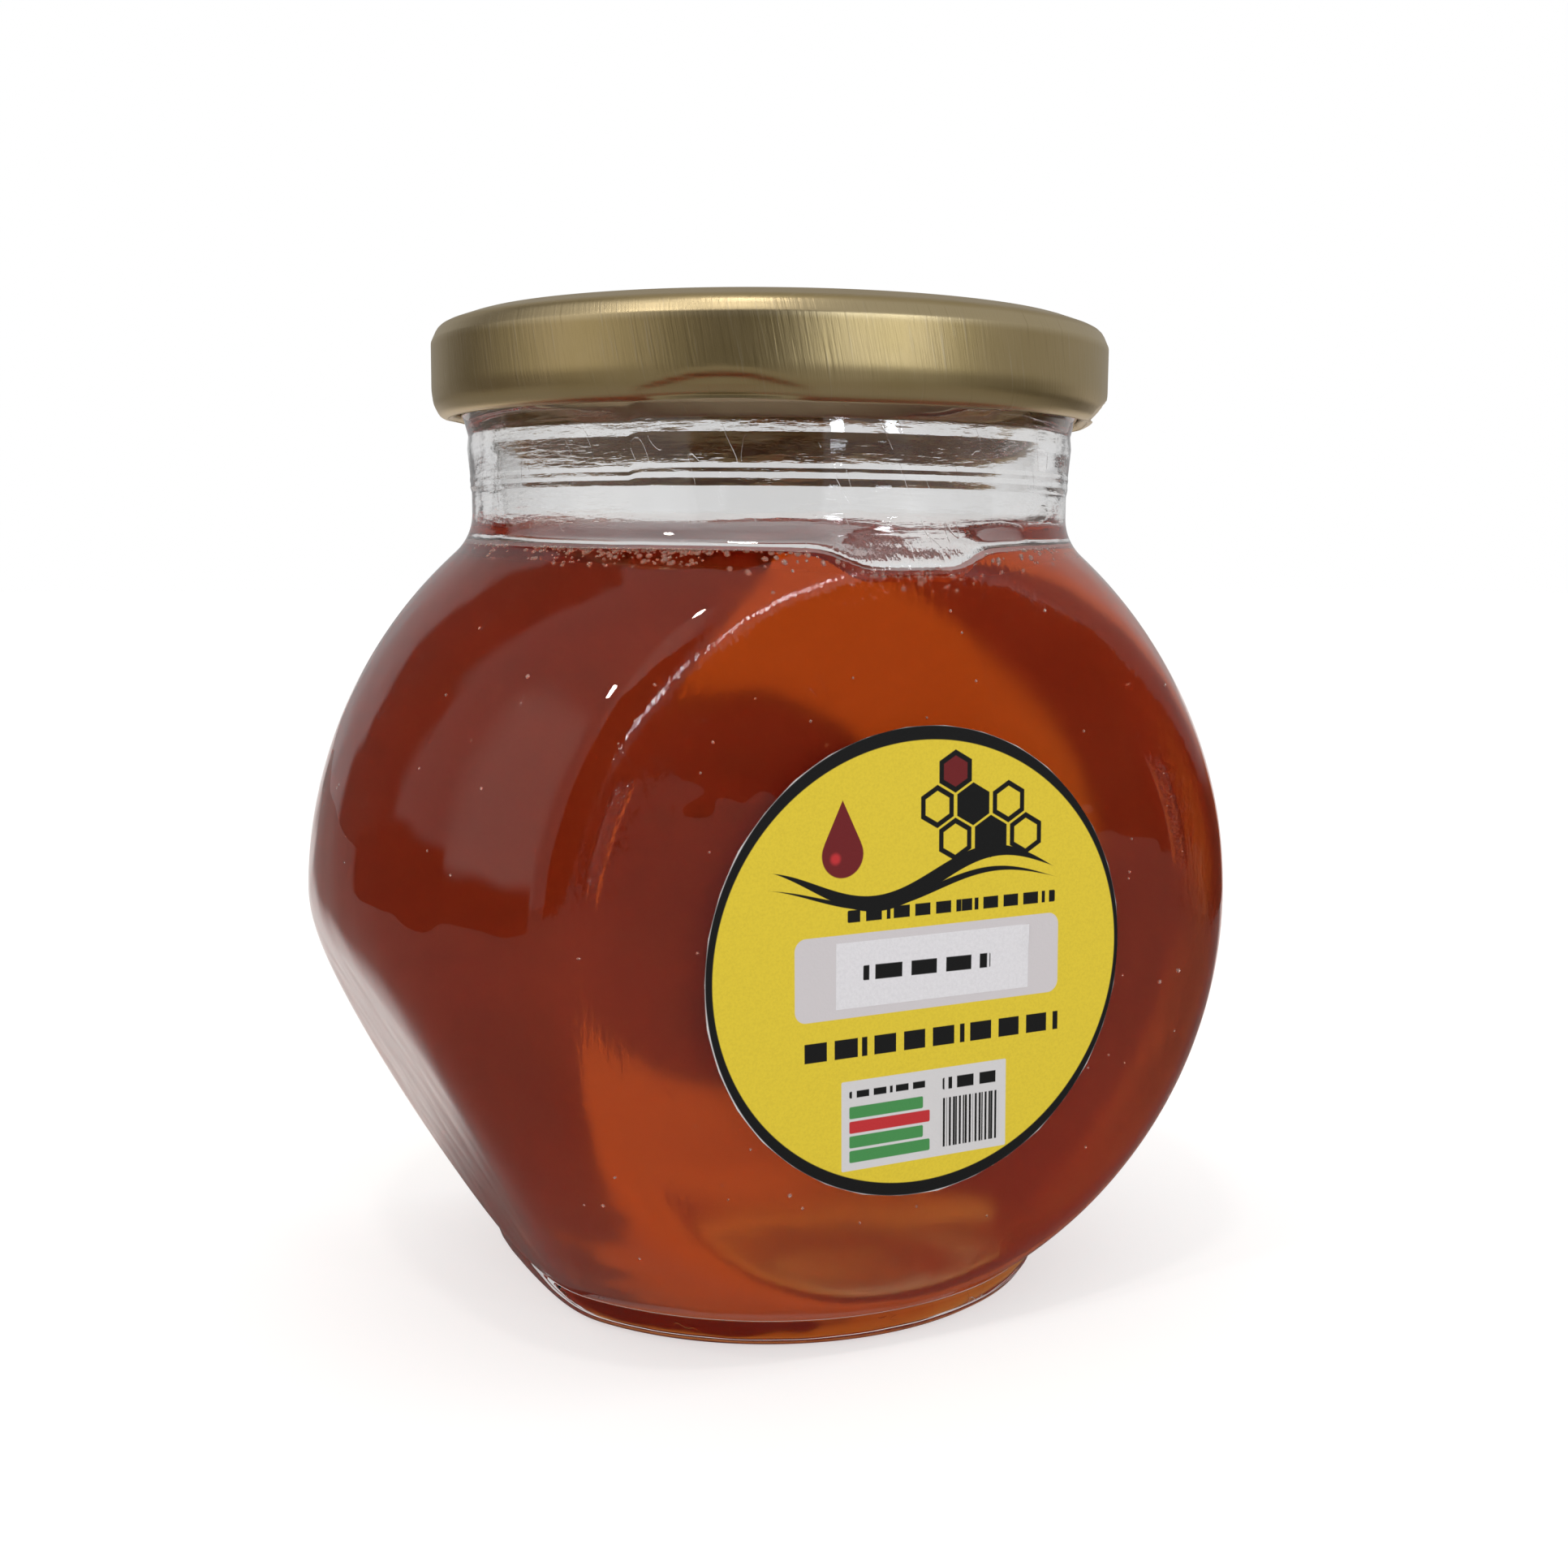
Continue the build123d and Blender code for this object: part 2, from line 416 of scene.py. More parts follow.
def dip_contact(vert, inset):
    """Lowers the honey's line on the wall in front of the flats, where the glass stands upright."""
    co = vert.co
    angle = abs(math.atan2(co.y, co.x))
    share = smooth_step((0.33 - abs(angle - math.pi / 2)) / 0.2)
    above = co.z - CONTACT_Z
    near = smooth_step(1.3 - above / 1.5 if above > 0 else 1.6 + above / 2.2)
    near *= smooth_step((math.hypot(co.x, co.y) - 29) / 4)
    if share * near == 0:
        return
    low = co.z - CONTACT_DIP * share * near
    grow = shoulder_radius(low, inset) / shoulder_radius(co.z, inset)
    vert.co = Vector((co.x * grow, co.y * grow, low))


glass = spun(glass_line, GLASS_STEPS, [0.0] * len(outer_line) + [WALL] * len(cavity_line))
depth_layer = glass.verts.layers.float["inset"]
inner_faces = [face for face in glass.faces if all(vert[depth_layer] > 0 for vert in face.verts)]
for face in inner_faces:
    face.material_index = int(face.calc_center_median().z < CONTACT_Z)
for vert in glass.verts:
    if vert[depth_layer] > 0:
        dip_contact(vert, WALL)
press_flats(glass)
for vert in glass.verts:
    if vert[depth_layer] == 0:
        seam_marks(vert.co)
        thread_ribs(vert.co)
    uneven(vert.co, vert[depth_layer])
jar_glass = finished("jar_glass", glass, ["jar"])

# %% [markdown]
# Honey fills the globe to just under the shoulder. It wets the glass and climbs it a little, so its top has a
# raised rim. Where a liquid touches glass in a render, its skin has to lie a little inside the wall: a gap
# between them would show as a silver film of air.

# %% The honey
SINK = 0.15


def honey_line():
    """Half the honey's outline: out along its top, up at the glass, then down the wall to the floor."""
    wall = [point for point in inner_line(SINK) if point[1] <= CONTACT_Z and point[0] > 0]
    edge = wall[0][0]
    shares = [i / 8 for i in range(8)]
    rise = [(edge - MENISCUS_WIDTH * (1 - a), LEVEL_Z + MENISCUS * a ** MENISCUS_CURVE) for a in shares]
    flat = divided([rise[0], (0, LEVEL_Z)], 4.0)
    return flat[::-1] + rise[1:] + wall + [(0, wall[-1][1])]


honey_outline = honey_line()
honey = spun(honey_outline, 240, [WALL - SINK] * len(honey_outline))
honey_top = honey.faces.layers.float.new("top")
for face in honey.faces:
    face[honey_top] = float(face.calc_center_median().z > LEVEL_Z - 0.01 and face.normal.z > 0.5)
for vert in honey.verts:
    dip_contact(vert, WALL - SINK)
press_flats(honey)
for vert in honey.verts:
    uneven(vert.co, WALL)
honey_fill = finished("honey_fill", honey, ["honey"])

# %% [markdown]
# Little bubbles rise while the jar is filled and stay caught in the thick honey, most of them in a ring just
# under the surface where it meets the glass. They are small spheres of air, joined into one piece. Smaller
# stray ones cling to the wall all the way down, and a few hang deeper in.

# %% Bubbles in the honey
random.seed(7)


def wall_radius(angle, height, inset):
    """How far the honey reaches in a direction, found by pressing one point of the globe."""
    wide = GLOBE_RADIUS - inset
    side = 1 if height > GLOBE_MIDDLE_Z else -1
    share = abs(height - GLOBE_MIDDLE_Z) / (GLOBE_HALF_HEIGHT - inset)
    radius = wide * math.sqrt(1 - share ** 2)
    flat = (FACE_Y - inset) / max(abs(math.sin(angle)), 1e-3)
    return soft_min(radius, flat, 1.5)


bubbles = bmesh.new()


def add_bubble(centre, radius):
    bmesh.ops.create_icosphere(
        bubbles, subdivisions=2 if radius > 0.26 else 1, radius=radius, matrix=Matrix.Translation(centre)
    )


for i in range(1250):
    angle = random.uniform(0, math.tau) if i % 6 else math.radians(random.uniform(-162, -126))
    crowd = noise.noise((math.cos(angle) * 2.2, math.sin(angle) * 2.2, 3.0))
    if i % 6 and crowd < random.uniform(-0.5, 0.25):
        continue
    size = 0.15 + 0.25 * random.random() ** 2
    at_flat = smooth_step((0.33 - abs(abs(angle_from(angle, 0)) - math.pi / 2)) / 0.2)
    climb = MENISCUS * (1 - (2 * size + 0.25) / MENISCUS_WIDTH) ** MENISCUS_CURVE
    rise = climb * (1 - at_flat) - 0.15 * at_flat
    height = LEVEL_Z + rise - size - 0.03 - 2.0 * random.random() ** 4
    reach = wall_radius(angle, height, WALL) - size - 0.08 - 0.4 * random.random() ** 3
    add_bubble((reach * math.cos(angle), reach * math.sin(angle), height), size)
for i in range(320):
    height = random.uniform(14, 88)
    angle = random.uniform(0, math.tau)
    size = 0.16 + 0.12 * random.random() ** 2
    clinging = wall_radius(angle, height, WALL) + size + 0.15
    reach = clinging if i % 5 else clinging - 1.4 - 14 * random.random() ** 3
    place = Vector((reach * math.cos(angle), reach * math.sin(angle), height))
    if (place - Vector((0, 0, GLOBE_MIDDLE_Z))).dot(SLANT_OUT) < SLANT_DISTANCE - WALL - 2:
        add_bubble(place, size)
honey_bubbles = finished("honey_bubbles", bubbles)

# %% [markdown]
# The cap is one disc of tinplate, pressed and curled. Its outline goes over the outside and back along the
# inside, a sheet's thickness apart. At four places the curl is pushed in to make a lug, and the skirt dents
# there: those dents are what tells a lug cap from a screw cap.

# %% The lug cap
SHEET = 0.45
LUG_HALF_TURN = math.radians(12)
LUG_DEPTH = 0.38
DENT_HALF_TURN = math.radians(14.5)
DENT_DEPTH = 0.95
PANEL_Z = CAP_TOP_Z - 0.8
cap_outside = [(0, PANEL_Z), (10, PANEL_Z), (20, PANEL_Z)] + rounded(
    [
        (28, PANEL_Z, 0),
        (30.8, PANEL_Z, 0.8),
        (32.0, CAP_TOP_Z, 0.8),
        (38.3, CAP_TOP_Z, 4.0),
        (41.7, CAP_TOP_Z - 1.2, 1.6),
        (CAP_RADIUS, CAP_TOP_Z - 3.0, 0.7),
        (CAP_RADIUS, CAP_LOW_Z + 3.4, 6),
        (CAP_RADIUS - 0.25, CAP_LOW_Z + 1.8, 2.4),
        (CAP_RADIUS - 1.2, CAP_LOW_Z, 1.5),
        (39.75, CAP_LOW_Z, 0.8),
        (39.75, CAP_LOW_Z + 1.9, 0.7),
        (41.2, CAP_LOW_Z + 1.9, 0),
    ],
    0.45,
)
cap_inside = rounded(
    [
        (41.2, CAP_LOW_Z + 1.9, 0),
        (CAP_RADIUS - SHEET, CAP_LOW_Z + 3.6, 1.0),
        (CAP_RADIUS - SHEET, CAP_TOP_Z - 3.1, 0.6),
        (41.4, CAP_TOP_Z - 1.6, 1.2),
        (38.2, CAP_TOP_Z - SHEET, 3.6),
        (32.3, CAP_TOP_Z - SHEET, 0.6),
        (31.1, PANEL_Z - SHEET, 0.6),
        (24, PANEL_Z - SHEET, 0),
    ],
    1.1,
) + [(12, PANEL_Z - SHEET), (0, PANEL_Z - SHEET)]


def lug_share(co):
    """1 in the middle of a lug, falling to 0 at its ends."""
    angle = math.atan2(co.y, co.x)
    turns = [abs(angle_from(angle, FIRST_LUG_ANGLE + i * math.tau / 4)) for i in range(4)]
    return smooth_step((LUG_HALF_TURN - min(turns)) / math.radians(7))


def dent_share(co):
    """A wide shallow dome over each lug: 1 in its middle and 0 at its ends."""
    angle = math.atan2(co.y, co.x)
    turn = min(abs(angle_from(angle, FIRST_LUG_ANGLE + i * math.tau / 4)) for i in range(4))
    return max(0.0, math.cos(min(turn / DENT_HALF_TURN, 1) * math.pi / 2))


def press_lug(vert):
    """Pushes the curl in under a lug and dents the skirt above it."""
    co = vert.co
    radius = math.hypot(co.x, co.y)
    rise = co.z - CAP_LOW_Z
    if radius < 38 or rise > 4.5:
        return
    push = LUG_DEPTH * lug_share(co) * smooth_step((41.0 - radius) / 0.8) * smooth_step((2.6 - rise) / 0.6)
    dome = dent_share(co)
    line = 1.3 + 1.8 * dome
    if dome > 0 and radius > 40.9:
        push += DENT_DEPTH * dome * smooth_step((line - rise) / 0.8)
    co.z += 0.3 * dome * smooth_step((2.2 - rise) / 1.4)
    shrink = 1 - push / radius
    co.x *= shrink
    co.y *= shrink


cap = spun(cap_outside + cap_inside[1:], 480)
for vert in cap.verts:
    press_lug(vert)
lug_cap = finished("lug_cap", cap, ["lid"])

# %% [markdown]
# The labels are paper discs cut out by hand, so their edges are a chain of short, nearly straight snips. The
# glue leaves no air behind the paper, so the back of each disc lies a hair inside the glass.

# %% Labels and sticker
PAPER_SINK = 0.05
random.seed(21)


def paper_disc(low, high, facing, snips):
    """A hand-cut paper disc between two corners of its CAD node, looking along -Y or +Y."""
    centre = Vector(((low[0] + high[0]) / 2, 0, (low[2] + high[2]) / 2))
    radius = (high[0] - low[0]) / 2
    glass_y = -facing * FACE_Y
    mesh = bmesh.new()
    corners = []
    wobble = [random.uniform(-0.16, 0.0) for _ in range(snips)]
    for i in range(snips * 6):
        snip, along = divmod(i, 6)
        angle = math.tau * i / (snips * 6)
        chord = math.cos(math.pi / snips) / math.cos(math.tau * (along / 6 - 0.5) / snips)
        flat = radius * (chord * 0.55 + 0.45)
        away = wobble[snip] + (wobble[(snip + 1) % snips] - wobble[snip]) * along / 6
        corners.append(mesh.verts.new((
            centre.x + (flat + away) * math.cos(angle),
            glass_y + facing * PAPER_SINK,
            centre.z + (flat + away) * math.sin(angle),
        )))
    face = mesh.faces.new(corners)
    grown = bmesh.ops.extrude_face_region(mesh, geom=[face])
    front = [part for part in grown["geom"] if isinstance(part, bmesh.types.BMVert)]
    thickness = abs(high[1] - low[1])
    bmesh.ops.translate(mesh, vec=(0, -facing * (thickness + PAPER_SINK), 0), verts=front)
    bmesh.ops.recalc_face_normals(mesh, faces=mesh.faces)
    return mesh


front_disc = paper_disc(label_low, label_high, 1, 34)
front_paper = finished("front_label", front_disc, ["label"], smooth=False)
rear_disc = paper_disc(back_low, back_high, -1, 38)
rear_paper = finished("rear_label", rear_disc, ["back_label"], smooth=False)

# %% [markdown]
# The small sticker over the label was put on by hand, so it sits a little askew and one corner has begun to
# lift. A finely divided strip of paper lets the corner bend.

# %% The sticker
def paper_strip(low, high):
    """A thin strip between two corners of its CAD node, its right end a little lifted."""
    mesh = bmesh.new()
    bmesh.ops.create_grid(mesh, x_segments=40, y_segments=12, size=0.5)
    tilt = math.radians(0.5)
    length = (high[0] - low[0] - math.sin(tilt) * (high[2] - low[2])) / math.cos(tilt)
    height = (high[2] - low[2]) - math.sin(tilt) * length
    bmesh.ops.scale(mesh, vec=(length, height, 1), verts=mesh.verts)
    bmesh.ops.rotate(mesh, cent=(0, 0, 0), matrix=Matrix.Rotation(tilt, 3, "Z"), verts=mesh.verts)
    bmesh.ops.rotate(mesh, cent=(0, 0, 0), matrix=Matrix.Rotation(math.pi / 2, 3, "X"), verts=mesh.verts)
    bmesh.ops.translate(
        mesh, vec=((low[0] + high[0]) / 2, high[1] - 0.01, (low[2] + high[2]) / 2), verts=mesh.verts
    )
    bmesh.ops.solidify(mesh, geom=mesh.faces[:], thickness=0.1)
    bmesh.ops.recalc_face_normals(mesh, faces=mesh.faces)
    for vert in mesh.verts:
        edge = smooth_step((vert.co.x - high[0] + 3) / 3) * smooth_step((vert.co.z - low[2] - 3) / 4)
        vert.co.y -= 0.16 * edge * edge
    return mesh


strip = paper_strip(sticker_low, sticker_high)
sticker = finished("sticker_paper", strip, ["sticker"], smooth=False)

# %% [markdown]
# Materials are written as sums. A small class wraps a socket, so that `a * b + 1` adds the Math nodes by
# itself, and one method makes any other node from its type, its settings and its sockets.

# %% Shader sums
class Field:
    """A number or colour that varies over a surface."""

    def __init__(self, shader, socket):
        self.shader, self.socket = shader, socket

    def math(self, operation, *values):
        sockets = {i: value for i, value in enumerate(values)}
        return self.shader.node("Math", {"operation": operation}, sockets)

    def __add__(self, other):
        return self.math("ADD", self, other)

    def __sub__(self, other):
        return self.math("SUBTRACT", self, other)

    def __rsub__(self, other):
        return self.math("SUBTRACT", other, self)

    def __mul__(self, other):
        return self.math("MULTIPLY", self, other)

    def __truediv__(self, other):
        return self.math("DIVIDE", self, other)

    def __neg__(self):
        return self.math("MULTIPLY", self, -1.0)

    __radd__, __rmul__ = __add__, __mul__

    def abs(self):
        return self.math("ABSOLUTE", self)

    def sqrt(self):
        return self.math("SQRT", self)

    def angle(self, other):
        """The direction of the point (self, other), in radians."""
        return self.math("ARCTAN2", other, self)

    def sin(self):
        return self.math("SINE", self)

    def max(self, other):
        return self.math("MAXIMUM", self, other)

    def step(self, low, high):
        """0 below low, 1 above high, smooth between; low may be the larger."""
        limits = {"Value": self, "From Min": low, "From Max": high}
        return self.shader.node("MapRange", {"interpolation_type": "SMOOTHSTEP"}, limits)


class Shader:
    """The node tree of one material, or of the world."""

    def __init__(self, owner):
        owner.use_nodes = True
        self.owner, self.tree = owner, owner.node_tree
        self.tree.nodes.clear()

    def node(self, kind, settings={}, sockets={}, output=0):
        made = self.tree.nodes.new("ShaderNode" + kind)
        for name, value in settings.items():
            setattr(made, name, value)
        for name, value in sockets.items():
            if isinstance(value, Field):
                self.tree.links.new(value.socket, made.inputs[name])
            elif isinstance(value, tuple) and len(value) == 3 and made.inputs[name].type == "RGBA":
                made.inputs[name].default_value = value + (1,)
            else:
                made.inputs[name].default_value = value
        return Field(self, made.outputs[output]) if len(made.outputs) else None

    def mix(self, factor, first, second):
        """A colour between two colours. A Mix node keeps its colours in sockets 6 and 7, and output 2."""
        return self.node("Mix", {"data_type": "RGBA"}, {0: factor, 6: first, 7: second}, 2)

    def place(self):
        """Where a point of the object lies, in millimetres, as three Fields."""
        here = self.node("TexCoord", output="Object")
        scaled = self.node("VectorMath", {"operation": "SCALE"}, {0: here, "Scale": 1 / MM})
        return [self.node("SeparateXYZ", sockets={0: scaled}, output=i) for i in range(3)]

    def at(self, x, y, z):
        return self.node("CombineXYZ", sockets={0: x, 1: y, 2: z})

    def noise(self, where, scale, detail=2.0, rough=0.5):
        return self.node("TexNoise", sockets={"Vector": where, "Scale": scale, "Detail": detail,
                                              "Roughness": rough})

    def matt(self, colour):
        """A surface with a colour and no shine."""
        return self.node("BsdfPrincipled", sockets={
            "Base Color": colour, "Roughness": 1.0, "Specular IOR Level": 0.0,
        })

    def bump(self, height, distance, strength=1.0):
        return self.node("Bump", sockets={"Height": height, "Distance": distance * MM, "Strength": strength})

    def finish(self, surface, volume=None):
        """Ends the tree in its output node."""
        kind = "Material" if isinstance(self.owner, bpy.types.Material) else "World"
        sockets = {"Surface": surface}
        if volume:
            sockets["Volume"] = volume
        self.node("Output" + kind, sockets=sockets)


def material(name):
    made = bpy.data.materials.new(name)
    return made, Shader(made)


def wear(piece, *finishes):
    """Gives a piece its finishes, in the order of its faces' slots."""
    for finish in finishes:
        piece.data.materials.append(finish)
    print(piece.name, "wears", ", ".join(finish.name for finish in finishes))


# %% [markdown]
# Clear glass is a Principled shader with full transmission. Blown glass is never quite flat: long swells,
# fine ripples where the round faces bend into the globe, and a few hairline scratches from the shelf are
# drawn as bumps. Below the honey's line the inner skin is wetted and vanishes, so it is plainly transparent.

# %% Glass
def make_glass():
    finish, s = material("clear_glass")
    x, y, z = s.place()
    up = z - GLOBE_MIDDLE_Z
    out = (x * x + up * up).sqrt()
    swells = s.noise(s.at(x, y, z), 0.11, 1.0)
    border = out.step(34.5, 38.0) * out.step(45.0, 41.5) * y.abs().step(30.0, 34.0)
    ripples = s.noise(s.at(x * 1.6, y * 1.6, z * 0.5), 1.0, 3.0) * border
    neck = z.step(92.5, 95.0) * z.step(108.0, 106.5)
    drawn = s.noise(s.at(x * 0.35, y * 0.35, z * 2.4), 1.0, 3.0) * neck
    hair = s.noise(s.at(x * 0.45 + z * 0.2, y * 0.45, z * 0.06), 1.0, 0.0)
    patches = s.noise(s.at(x, y, z), 0.16, 1.0).step(0.60, 0.68)
    scratches = (hair - 0.5).abs().step(0.012, 0.0) * patches
    ring = 39.8 - x.step(-5.0, 5.0) * 2.5
    beside = (up - 12.0).abs().step(8.0, 4.5) * (out - ring).abs().step(1.2, 0.5) * y.abs().step(30.0, 34.0)
    creases = s.noise(s.at(x * 1.4, y * 1.4, z * 1.6), 1.0, 2.0) * beside
    worn = s.noise(s.at(x * 0.12, y * 0.12, z * 0.3), 1.0, 1.0).step(0.50, 0.62)
    wrinkles = drawn * (worn * 0.02 + x.abs().step(24.0, 34.0) * 0.03 + 0.008)
    skin = swells * 0.25 + creases * 0.30 + ripples * 0.075 + wrinkles + scratches * 0.010
    s.finish(s.node("BsdfPrincipled", sockets={
        "Base Color": (1.0, 1.0, 1.0), "Roughness": scratches * 0.25, "IOR": 1.5, "Transmission Weight": 1.0,
        "Normal": s.bump(skin, 1.0),
    }))
    return finish


def make_wetted_glass():
    finish, s = material("wetted_glass")
    s.finish(s.node("BsdfTransparent", sockets={"Color": (1.0, 1.0, 1.0)}))
    return finish


# %% [markdown]
# Honey takes its colour from its depth, so the colour is in the volume: blue goes first, then green, then
# red. It is also a little cloudy. A share of matt colour at its skin stands for the light that the cloud
# throws back, and a roughness there softens what is seen through it. On the +X side, low down, the cloud's
# colour is darker: that is painted shade. Its top meets air, so only there does it bend light as a liquid
# does.

# %% Honey
def make_honey():
    finish, s = material("amber_honey")
    x, y, z = s.place()
    clear = {"Base Color": (1.0, 1.0, 1.0), "Transmission Weight": 1.0}
    haze = z.step(CONTACT_Z - 1.4, CONTACT_Z - 3.6) * 0.66 - z.step(26.0, 16.0) * 0.12 + 0.09
    through = s.node("BsdfPrincipled", sockets={**clear, "Roughness": haze, "IOR": 1.03})
    drift = s.noise(s.at(x, y, z * 1.5), 0.05, 2.0)
    glow = s.mix(drift.step(0.3, 0.7), (0.84, 0.102, 0.018), (0.92, 0.124, 0.026))
    # Painted shade: the cloud's colour is darkened towards +X, low down, so that side of the honey looks
    # shaded.
    painted_shade_side = x.step(24.0, 50.0) * z.step(10.0, 30.0) * 0.55
    cloud = s.matt(s.mix(painted_shade_side, glow, (0.30, 0.075, 0.022)))
    cloudy = z.step(CONTACT_Z - 0.4, CONTACT_Z - 3.2) * 0.24 + 0.06
    at_glass = s.node("MixShader", sockets={0: cloudy, 1: through, 2: cloud})
    skin = s.node("BsdfPrincipled", sockets={**clear, "Roughness": 0.0, "IOR": 1.49})
    at_air = s.node("MixShader", sockets={0: 0.3, 1: skin, 2: cloud})
    top = s.node("Attribute", {"attribute_name": "top"}, output="Fac")
    surface = s.node("MixShader", sockets={0: top, 1: at_glass, 2: at_air})
    amber = s.node("VolumeAbsorption", sockets={"Color": (0.936, 0.61, 0.06), "Density": 80.0})
    s.finish(surface, amber)
    return finish


def make_air():
    finish, s = material("air_bubble")
    x, y, z = s.place()
    # The bubbles' pale pinkish matt share is painted reflection: it stands in for the bright surroundings
    # that their skins throw back.
    pale = s.mix(s.noise(s.at(x, y, z), 1.5).step(0.4, 0.6), (1.0, 0.80, 0.70), (1.0, 0.92, 0.86))
    surface = s.node("BsdfPrincipled", sockets={
        "Base Color": pale, "Roughness": 0.05, "IOR": 0.671, "Transmission Weight": 0.35,
    })
    s.finish(surface)
    return finish


# %% [markdown]
# The cap is tinplate under a gold lacquer. The sheet was rolled before it was pressed, so very fine lines
# lean across the skirt. Its lower edge and a band at its shoulder are paler and greyer: partly rubbing from
# handling, partly a painted highlight where those bands catch the light.

# %% Lacquered tinplate
def make_lacquer():
    finish, s = material("gold_lacquer")
    x, y, z = s.place()
    around = x.angle(y) * CAP_RADIUS
    fine = s.noise(s.at(around * 2.6 + z * 0.5, z * 0.10, 0.0), 1.0, 3.0, 0.6)
    sheet = s.noise(s.at(x * 0.35, y * 3.0, z * 0.1), 1.0, 3.0, 0.6)
    on_top = z.step(118.6, 119.4)
    lines = fine + (sheet - fine) * on_top
    cloudy = s.noise(s.at(x, y, z), 0.14, 3.0)
    # Paler bands at the lower edge and the shoulder: partly rubbing, partly a painted highlight along the
    # lines where the cap catches the light.
    rubbed_and_painted_highlight = z.step(110.2, 109.0) * 0.35 + z.step(116.6, 117.6) * z.step(119.2, 118.6) * 0.9
    gold = s.mix(cloudy.step(0.3, 0.7), (0.460, 0.350, 0.165), (0.490, 0.375, 0.190))
    gold = s.mix(rubbed_and_painted_highlight, gold, (0.60, 0.485, 0.285))
    gold = s.mix(lines.step(0.58, 0.70) * 0.4, gold, (0.56, 0.47, 0.32))
    gold = s.mix(lines.step(0.42, 0.30) * 0.35, gold, (0.36, 0.27, 0.13))
    s.finish(s.node("BsdfPrincipled", sockets={
        "Base Color": gold, "Metallic": 1.0, "Roughness": lines * 0.10 + cloudy * 0.04 + 0.30,
        "Normal": s.bump(lines, 0.035),
    }))
    return finish


# %% [markdown]
# A print is flat fields of colour laid over one another. Each shape below is a mask made from the distance
# to its edge, and each ink is mixed over the ones before it. The shapes are plain: discs, boxes, hexagons of
# a comb, a drop, and rows of bars where words would stand.

# %% Print shapes
class Print:
    """Inks laid on paper. Across and up are millimetres from the middle of the round face."""

    def __init__(self, shader, across, up, paper):
        self.s, self.u, self.v, self.colour = shader, across, up, paper

    def ink(self, mask, colour):
        self.colour = self.s.mix(mask, self.colour, colour)

    def disc(self, u, v, radius, soft=0.08):
        du, dv = self.u - u, self.v - v
        return (du * du + dv * dv).sqrt().step(radius + soft, radius - soft)

    def oval(self, u, v, wide, high):
        du, dv = (self.u - u) / wide, (self.v - v) / high
        return (du * du + dv * dv).sqrt().step(1.003, 0.997)

    def box(self, left, right, low, high, corner=0.2):
        du = (self.u - (left + right) / 2).abs() - ((right - left) / 2 - corner)
        dv = (self.v - (low + high) / 2).abs() - ((high - low) / 2 - corner)
        du, dv = du.max(0.0), dv.max(0.0)
        return (du * du + dv * dv).sqrt().step(corner + 0.06, corner - 0.06)

    def hexagon(self, u, v, reach):
        du, dv = (self.u - u).abs(), (self.v - v).abs()
        return du.max(du * 0.5 + dv * 0.866).step(reach + 0.06, reach - 0.06)

    def words(self, left, right, low, high, pace, start):
        """A row of bars of uneven length."""
        beat = (self.u * pace + start).sin() + (self.u * pace * 2.3 + start * 3).sin() * 0.7
        return self.box(left, right, low, high) * beat.step(-0.62, -0.50)


def paper_finish(s, colour, grain):
    return s.node("BsdfPrincipled", sockets={
        "Base Color": colour, "Roughness": grain * 0.15 + 0.55, "Specular IOR Level": 0.25,
        "Normal": s.bump(grain, 0.03),
    })


BLACK, WHITE, GREY = (0.006, 0.006, 0.006), (0.64, 0.62, 0.62), (0.61, 0.57, 0.58)
YELLOW, WORN_YELLOW = (0.74, 0.56, 0.034), (0.68, 0.51, 0.032)
DARK_RED, RED, GREEN = (0.16, 0.010, 0.012), (0.52, 0.025, 0.030), (0.06, 0.27, 0.075)


# %% [markdown]
# The front label is a yellow disc in a black ring, set a little askew as hand-laid labels are. A comb, a drop
# and a swept line stand above the place of the sticker, and rows of bars and a small white panel lie below
# it. The yellow is rolled ink, so a fine grain runs through its shade.

